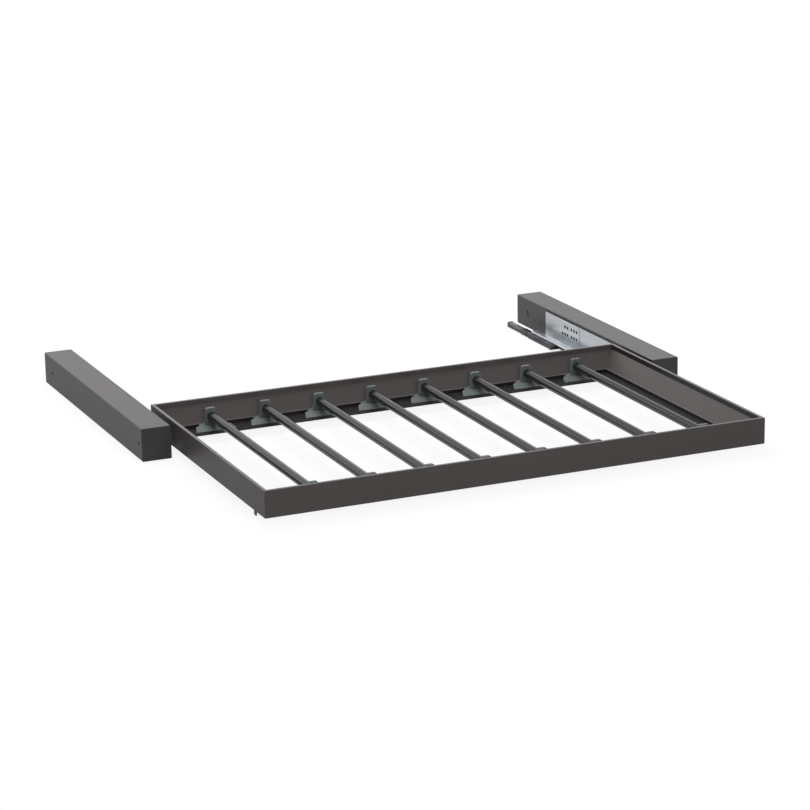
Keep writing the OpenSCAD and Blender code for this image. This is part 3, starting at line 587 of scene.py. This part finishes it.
class RACK_OT_dampers(bpy.types.Operator):
    """Finishes the soft-closing bodies, cylinders, clips, pistons and catches"""
    bl_idname = "trouser_rack.dampers"
    bl_label = "Soft-closing units"

    def execute(self, context):
        metals = context.scene.rack_metals
        mould = context.scene.rack_mouldings
        body = moulded_plastic(
            "Moulded slate-grey acetal", mould.slate, mould.spark, roughness=0.42, strength=0.15)
        cylinder = moulded_plastic(
            "Smooth grey nylon", mould.grey, mould.spark, roughness=0.3, strength=0.05)
        catch = moulded_plastic(
            "Natural acetal", mould.natural, mould.spark, roughness=0.35, strength=0.1)
        bright = rolled_metal(
            "Turned bright steel", metals.steel, metals.rolling, roughness=0.22)
        clip = rolled_metal(
            "Blackened spring-steel clip", metals.lever, metals.rolling, roughness=0.35,
            anisotropic=0.2)
        paint(body, *both("damper_body"))
        paint(cylinder, *both("damper_cylinder"))
        paint(catch, *both("catch_carriage"))
        paint(bright, *both("piston"))
        paint(clip, *both("damper_clip"))
        return {"FINISHED"}


def spring_points(low, high, radius, turns, hook_turns):
    """Centre line of a spring wound along Y, with a hook at each end turned into its axis."""
    x, z = (low.x + high.x) / 2, (low.z + high.z) / 2
    hook = radius * SPRING_HOOK_SHARE
    first, last = low.y + 2 * hook, high.y - 2 * hook
    coil_steps = turns * SPRING_STEPS
    hook_steps = int(SPRING_STEPS * hook_turns)

    def hook_point(i, end, outward):
        """A point of a hook, which turns out of the coil and leans slowly to the axis."""
        angle = 2 * math.pi * i / SPRING_STEPS
        return (
            x + radius * math.cos(angle / 4), end + outward * hook * math.sin(angle),
            z - hook + hook * math.cos(angle))

    points = [hook_point(i, first, -1) for i in range(hook_steps, 0, -1)]
    for i in range(coil_steps + 1):
        angle = 2 * math.pi * i / SPRING_STEPS
        points.append((
            x + radius * math.cos(angle), first + (last - first) * i / coil_steps,
            z + radius * math.sin(angle)))
    return points + [hook_point(i, last, 1) for i in range(1, hook_steps + 1)]


class RACK_OT_springs(bpy.types.Operator):
    """Winds the two closing springs in place of their plain tubes"""
    bl_idname = "trouser_rack.springs"
    bl_label = "Closing springs"

    def execute(self, context):
        springs = context.scene.rack_springs
        metals = context.scene.rack_metals
        wire = rolled_metal("Patented spring wire", metals.steel, metals.rolling, roughness=0.25)
        for side in SIDES:
            low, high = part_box(side + "_closing_spring")
            radius = (high.z - low.z - springs.wire) / 2
            points = spring_points(low, high, radius, springs.turns, springs.hook_turns)
            curve = bpy.data.curves.new(side + "_wound_spring", "CURVE")
            curve.dimensions = "3D"
            curve.bevel_depth = springs.wire / 2
            curve.bevel_resolution = 2
            spline = curve.splines.new("POLY")
            spline.points.add(len(points) - 1)
            for point, at in zip(spline.points, points):
                point.co = (*at, 1)
            curve.materials.append(wire)
            piece = bpy.data.objects.new(side + "_wound_spring", curve)
            context.scene.collection.objects.link(piece)
            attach(piece, "side_housings")
            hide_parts(side + "_closing_spring")
        return {"FINISHED"}


def add_lamp(context, name, size, power, at):
    """A soft lamp, turned to the middle of the rack and kept out of reflections."""
    lamp = bpy.data.lights.new(name, "AREA")
    lamp.shape = "RECTANGLE"
    lamp.size, lamp.size_y = size
    lamp.energy = power
    obj = bpy.data.objects.new(name, lamp)
    context.scene.collection.objects.link(obj)
    obj.location = at
    obj.rotation_euler = (-Vector(at)).to_track_quat("-Z", "Y").to_euler()
    obj.visible_glossy = False


def add_surroundings(scene, studio):
    """White surroundings that light the rack only faintly.

    The eye sees plain white, and gloss mirrors a white backdrop under a dimmer ceiling.
    """
    world = scene.world or bpy.data.worlds.new("White surroundings")
    scene.world = world
    world.use_nodes = True
    tree = world.node_tree
    tree.nodes.clear()
    ray = add_node(tree, "ShaderNodeLightPath").outputs
    seen = joined(
        tree, "MAXIMUM",
        ray["Is Camera Ray"], ray["Is Glossy Ray"], ray["Is Transmission Ray"])
    room = add_node(
        tree, "ShaderNodeBackground", {"Color": ROOM_COLOUR, "Strength": studio.ambient})
    direction = add_node(tree, "ShaderNodeTexCoord")
    height = add_node(
        tree, "ShaderNodeSeparateXYZ", None, {"Vector": direction.outputs["Generated"]})
    fall = add_node(
        tree, "ShaderNodeMapRange",
        {"From Min": BACKDROP_FADE[0], "From Max": BACKDROP_FADE[1],
         "To Min": 1.0, "To Max": studio.ceiling},
        {"Value": height.outputs["Z"]})
    level = joined(tree, "MAXIMUM", ray["Is Camera Ray"], fall.outputs["Result"])
    white = add_node(tree, "ShaderNodeBackground", {"Color": WHITE}, {"Strength": level})
    mix = add_node(
        tree, "ShaderNodeMixShader", None, {0: seen, 1: room.outputs[0], 2: white.outputs[0]})
    add_node(tree, "ShaderNodeOutputWorld", links={"Surface": mix.outputs[0]})


def paper_floor(studio):
    """Matt seamless paper: the eye sees white that keeps a faint shadow near the rack."""
    material = new_material("Matt seamless paper floor")
    tree = material.node_tree
    # The paper's fibres only just show
    fibre_length = 2 * MM
    fibre = add_node(
        tree, "ShaderNodeTexNoise", {"Scale": 1 / fibre_length, "Detail": 2.0},
        {"Vector": place(tree)})
    shade = tinted(tree, fibre.outputs["Fac"], studio.floor, 0.01)
    paper = add_node(tree, "ShaderNodeBsdfDiffuse", {"Roughness": 1.0}, {"Color": shade})
    ray = add_node(tree, "ShaderNodeLightPath").outputs
    mirrored = add_node(
        tree, "ShaderNodeMath", {"operation": "MULTIPLY", 1: studio.ground},
        {0: ray["Is Glossy Ray"]})
    seen = joined(tree, "MAXIMUM", ray["Is Camera Ray"], mirrored.outputs[0])
    lift = add_node(tree, "ShaderNodeEmission", {"Color": WHITE}, {"Strength": seen})
    reach = add_node(
        tree, "ShaderNodeVectorMath", {"operation": "LENGTH"}, {0: place(tree, (1, 1, 0))})
    share = add_node(
        tree, "ShaderNodeMapRange",
        {"From Min": SHADOW_FADE[0], "From Max": SHADOW_FADE[1],
         "To Min": studio.lift, "To Max": 1.0},
        {"Value": reach.outputs["Value"]})
    mix = add_node(
        tree, "ShaderNodeMixShader", None,
        {0: share.outputs["Result"], 1: paper.outputs[0], 2: lift.outputs[0]})
    return finish_material(material, mix)


def add_floor(context, studio):
    """A flat floor just below the rack."""
    mesh = bpy.data.meshes.new("Floor")
    shape = bmesh.new()
    bmesh.ops.create_grid(shape, x_segments=1, y_segments=1, size=FLOOR_REACH)
    shape.to_mesh(mesh)
    shape.free()
    mesh.materials.append(paper_floor(studio))
    floor = bpy.data.objects.new("Floor", mesh)
    floor.location.z = CAD_BOUNDS[0][2] - FLOOR_GAP
    context.scene.collection.objects.link(floor)


def add_camera(context, studio):
    """A camera at the studio's place and angles."""
    camera = bpy.data.cameras.new("Camera")
    camera.sensor_width = SENSOR_WIDTH
    camera.lens = studio.focal
    camera.clip_end = CAMERA_REACH
    obj = bpy.data.objects.new("Camera", camera)
    context.scene.collection.objects.link(obj)
    level, rise = math.cos(studio.elevation), math.sin(studio.elevation)
    back = Vector((math.sin(studio.azimuth) * level, -math.cos(studio.azimuth) * level, rise))
    across = (-back).cross(Vector((0, 0, 1))).normalized()
    up = across.cross(-back)
    upright, lean = math.cos(studio.roll), math.sin(studio.roll)
    turn = Matrix((
        upright * across + lean * up, upright * up - lean * across, back)).transposed()
    obj.matrix_world = Matrix.Translation(studio.eye) @ turn.to_4x4()
    context.scene.camera = obj


class RACK_OT_studio(bpy.types.Operator):
    """Sets the pale floor, the lamps, the white surroundings and the camera"""
    bl_idname = "trouser_rack.studio"
    bl_label = "Studio"

    def execute(self, context):
        studio = context.scene.rack_studio
        context.scene.view_settings.view_transform = "Standard"
        add_surroundings(context.scene, studio)
        add_floor(context, studio)
        for name, power, size, at in LAMPS:
            add_lamp(context, name, size, getattr(studio, power), at)
        add_camera(context, studio)
        return {"FINISHED"}


class RACK_PT_panel(bpy.types.Panel):
    """Sidebar panel that lists the rack's finishes and pieces"""
    bl_idname = "RACK_PT_panel"
    bl_label = "Trouser Rack"
    bl_space_type = "VIEW_3D"
    bl_region_type = "UI"
    bl_category = "Trouser Rack"

    def draw(self, context):
        for group, operators in PANEL_ROWS:
            box = self.layout.box()
            settings = getattr(context.scene, group)
            for name in settings.__annotations__:
                box.prop(settings, name)
            for operator in operators:
                box.operator(operator.bl_idname)


SETTINGS = (
    ("rack_coating", RackCoating),
    ("rack_mouldings", RackMouldings),
    ("rack_metals", RackMetals),
    ("rack_springs", RackSprings),
    ("rack_studio", RackStudio),
)
OPERATORS = (
    RACK_OT_housings, RACK_OT_rails, RACK_OT_rods, RACK_OT_supports, RACK_OT_slides,
    RACK_OT_dampers, RACK_OT_springs, RACK_OT_studio,
)
PANEL_ROWS = (
    ("rack_coating", (RACK_OT_housings, RACK_OT_rails, RACK_OT_rods)),
    ("rack_mouldings", (RACK_OT_supports, RACK_OT_dampers)),
    ("rack_metals", (RACK_OT_slides,)),
    ("rack_springs", (RACK_OT_springs,)),
    ("rack_studio", (RACK_OT_studio,)),
)


def register():
    """Registers the classes and hangs the settings on the scene."""
    for _, group in SETTINGS:
        bpy.utils.register_class(group)
    for operator in OPERATORS:
        bpy.utils.register_class(operator)
    bpy.utils.register_class(RACK_PT_panel)
    for name, group in SETTINGS:
        setattr(bpy.types.Scene, name, bpy.props.PointerProperty(type=group))


def unregister():
    """Takes the settings and the classes away again."""
    for name, _ in SETTINGS:
        delattr(bpy.types.Scene, name)
    bpy.utils.unregister_class(RACK_PT_panel)
    for operator in reversed(OPERATORS):
        bpy.utils.unregister_class(operator)
    for _, group in reversed(SETTINGS):
        bpy.utils.unregister_class(group)


def main():
    """Runs every operator in order."""
    register()
    for operator in OPERATORS:
        category, name = operator.bl_idname.split(".")
        getattr(getattr(bpy.ops, category), name)()


if __name__ == "__main__":
    main()
